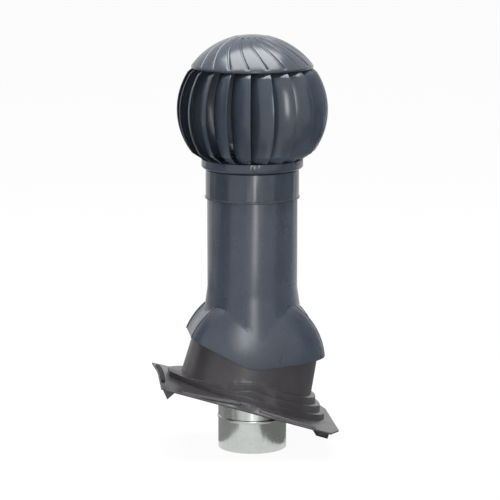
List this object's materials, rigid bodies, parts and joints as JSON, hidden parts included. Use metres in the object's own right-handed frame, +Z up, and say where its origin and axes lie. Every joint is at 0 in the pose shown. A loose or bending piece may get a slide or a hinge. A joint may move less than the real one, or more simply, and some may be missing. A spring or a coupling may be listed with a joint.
{
  "type": "roof vent",
  "caption": "Insulated roof ventilation outlet with a wind-driven turbine head on a levelling hood over a stepped roof base plate.",
  "frame": {"origin": "centre of the inner duct's open lower end", "axes": "+Z up along the duct and the turbine's axle, +X down the roof slope, +Y along the eaves"},
  "size_m": [0.3219, 0.2666, 0.7504],
  "materials": {
    "galvanised_sheet": "zinc coated sheet",
    "foam_insulation": "closed cell foam",
    "outlet_plastic": "satin gloss moulding",
    "turbine_plastic": "satin gloss moulding",
    "base_plastic": "satin moulding",
    "bracket_plastic": "matt moulding",
    "bright_steel": "turned",
    "bearing_steel": "ground",
    "zinc_steel": "zinc plated",
    "seal_foam": "foam rubber",
    "seal_rubber": "extruded"
  },
  "bodies": {
    "outlet": {"inner_duct": "galvanised_sheet", "insulation_sleeve": "foam_insulation", "outer_pipe": "outlet_plastic", "socket_sleeve": "turbine_plastic", "axle_bracket": "bracket_plastic", "axle": "bright_steel", "axle_lower_nut": "zinc_steel", "axle_upper_nut": "zinc_steel", "axle_washer": "zinc_steel", "axle_spacer_tube": "bright_steel", "lower_bearing_inner_ring": "bearing_steel", "upper_bearing_inner_ring": "bearing_steel"},
    "base": {"roof_base": "base_plastic", "upslope_seal": "seal_foam", "downslope_seal": "seal_rubber"},
    "rotor": {"turbine_cap": "turbine_plastic", "vane_ring": "turbine_plastic", "lower_bearing_outer_ring": "bearing_steel", "upper_bearing_outer_ring": "bearing_steel", "vane_01": "turbine_plastic", "vane_02": "turbine_plastic", "vane_03": "turbine_plastic", "vane_04": "turbine_plastic", "vane_05": "turbine_plastic", "vane_06": "turbine_plastic", "vane_07": "turbine_plastic", "vane_08": "turbine_plastic", "vane_09": "turbine_plastic", "vane_10": "turbine_plastic", "vane_11": "turbine_plastic", "vane_12": "turbine_plastic", "vane_13": "turbine_plastic", "vane_14": "turbine_plastic", "vane_15": "turbine_plastic", "vane_16": "turbine_plastic", "vane_17": "turbine_plastic", "vane_18": "turbine_plastic", "vane_19": "turbine_plastic", "vane_20": "turbine_plastic"}
  },
  "joints": [
    {"name": "pitch_tilt", "type": "hinge", "parent": "outlet", "child": "base", "pos_m": [0, 0, 0.164], "axis": [0, 1, 0], "range_deg": [-12.5, 12.5]},
    {"name": "turbine_spin", "type": "hinge", "parent": "outlet", "child": "rotor", "pos_m": [0, 0, 0.6165], "axis": [0, 0, 1], "continuous": true}
  ]
}
